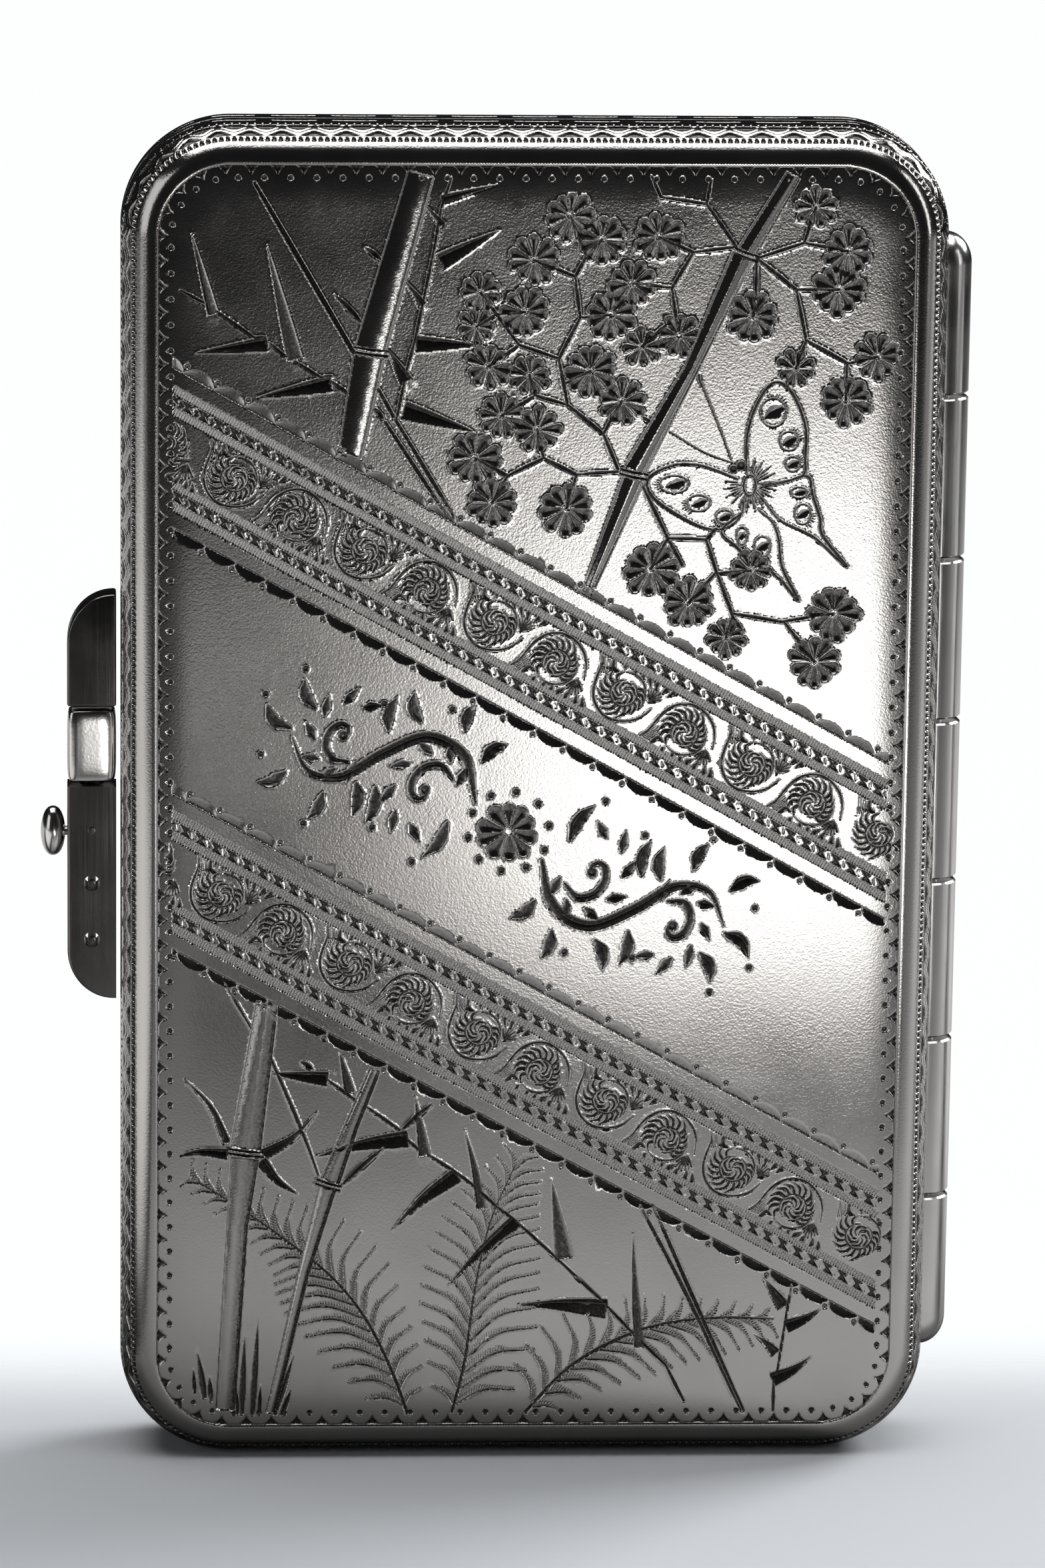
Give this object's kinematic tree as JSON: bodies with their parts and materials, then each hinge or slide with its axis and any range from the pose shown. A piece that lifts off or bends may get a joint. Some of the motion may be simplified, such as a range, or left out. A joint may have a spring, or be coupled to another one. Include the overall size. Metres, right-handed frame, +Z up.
{
  "type": "card case",
  "caption": "Flat hinged metal card case with two dished engraved faces, a side catch with a sliding ball, and a sprung clip inside.",
  "frame": {"origin": "middle of the base of the bounding box, on the parting plane between the two halves", "axes": "+Z up along the long side as the case stands, +X towards the hinge, -Y out of the front face"},
  "size_m": [0.0678, 0.01, 0.1],
  "materials": {
    "engraved_silver": "satin oxidised silver, engraved, dark in the cuts",
    "plain_silver": "brushed oxidised silver",
    "bright_silver": "polished silver",
    "gilt_lining": "satin gilt",
    "gilt_clip": "polished gilt",
    "steel": "drawn wire and spring steel"
  },
  "bodies": {
    "back_half": {"back_shell": "engraved_silver", "back_liner": "gilt_lining", "rebate_frame": "gilt_lining", "hinge_knuckle_1": "plain_silver", "hinge_knuckle_3": "plain_silver", "hinge_knuckle_5": "plain_silver", "hinge_knuckle_7": "plain_silver", "hinge_pin": "steel", "catch_keeper": "bright_silver", "clip_spring": "steel", "clip_pin": "steel", "clip_lug_lower": "gilt_clip", "clip_lug_upper": "gilt_clip"},
    "front_half": {"front_shell": "engraved_silver", "front_liner": "gilt_lining", "hinge_knuckle_2": "plain_silver", "hinge_knuckle_4": "plain_silver", "hinge_knuckle_6": "plain_silver", "catch_upper_block": "plain_silver", "catch_lower_housing": "plain_silver", "catch_detent_spring": "steel", "housing_rivet_lower": "plain_silver", "housing_rivet_upper": "plain_silver"},
    "catch_slider": {"catch_bolt": "steel", "catch_ball": "bright_silver"},
    "clip": {"card_clip": "gilt_clip"}
  },
  "joints": [
    {"name": "lid_hinge", "type": "hinge", "parent": "back_half", "child": "front_half", "pos_m": [0.03195, 0, 0.05], "axis": [0, 0, 1], "range_deg": [0, 160]},
    {"name": "catch_slide", "type": "slide", "parent": "front_half", "child": "catch_slider", "axis": [0, 0, 1], "range_m": [0, 0.0023]},
    {"name": "clip_pivot", "type": "hinge", "parent": "back_half", "child": "clip", "pos_m": [0.02695, 0.0018, 0.05], "axis": [0, 0, 1], "range_deg": [0, 6], "stiffness_Nm_per_rad": 0.01, "springref_deg": -5.73}
  ]
}
